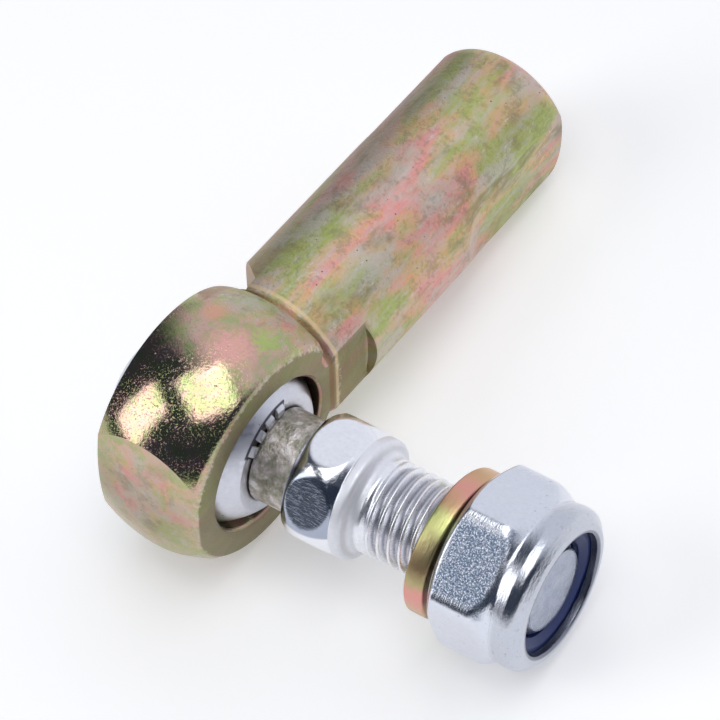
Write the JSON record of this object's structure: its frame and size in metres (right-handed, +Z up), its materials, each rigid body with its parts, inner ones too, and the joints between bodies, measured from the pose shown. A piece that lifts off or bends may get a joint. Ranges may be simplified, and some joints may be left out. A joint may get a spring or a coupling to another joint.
{
  "type": "ball joint",
  "caption": "Angled ball joint: a ball stud with a lock nut and spring washer tilts and turns in a round head on a shank with a female thread.",
  "frame": {"origin": "on the ground plane under the middle of the joint's box, as it lies on its head, shank end and nut", "axes": "+X towards the free end of the shank, -Y towards the stud's end, +Z up"},
  "size_m": [0.063, 0.0512, 0.0268],
  "materials": {
    "head_yellow_zinc": "yellow-passivated zinc on turned and forged steel, iridescent green and pink",
    "ring_white_zinc": "bright zinc on turned steel",
    "ball_white_zinc": "bright zinc on a smooth steel ball",
    "stud_white_zinc": "bright zinc on turned steel, matt on the neck",
    "washer_yellow_zinc": "yellow-passivated zinc on spring steel, in orange and green bands",
    "nut_white_zinc": "bright zinc on forged steel, frosted on the flats",
    "insert_blue_nylon": "dark blue nylon"
  },
  "bodies": {
    "head": {"housing": "head_yellow_zinc"},
    "ring": {"retaining_ring": "ring_white_zinc"},
    "ball": {"ball": "ball_white_zinc"},
    "stud": {"stud": "stud_white_zinc"},
    "washer": {"spring_washer": "washer_yellow_zinc"},
    "nut": {"lock_nut": "nut_white_zinc", "nylon_insert": "insert_blue_nylon"}
  },
  "joints": [
    {"name": "swing_direction", "type": "hinge", "parent": "head", "child": "ring", "pos_m": [-0.01956, 0.01558, 0.01346], "axis": [-0.0157, -0.9894, -0.1444], "continuous": true},
    {"name": "stud_tilt", "type": "hinge", "parent": "ring", "child": "ball", "pos_m": [-0.01956, 0.01558, 0.01346], "axis": [-0.6128, -0.1046, 0.7833], "range_deg": [-25.75, 18.25]},
    {"name": "stud_spin", "type": "hinge", "parent": "ball", "child": "stud", "pos_m": [-0.01956, 0.01558, 0.01346], "axis": [0.0359, -0.9939, -0.1046], "continuous": true},
    {"name": "nut_travel", "type": "slide", "parent": "stud", "child": "washer", "axis": [0.0359, -0.9939, -0.1046], "range_m": [-0.00688, 0.0075]},
    {"name": "nut_turn", "type": "hinge", "parent": "washer", "child": "nut", "pos_m": [-0.01956, 0.01558, 0.01346], "axis": [0.0359, -0.9939, -0.1046], "range_deg": [-1980, 2160]}
  ],
  "couplings": [
    {"joint": "nut_travel", "follows": "nut_turn", "m_per_rad": 0.00019894}
  ]
}
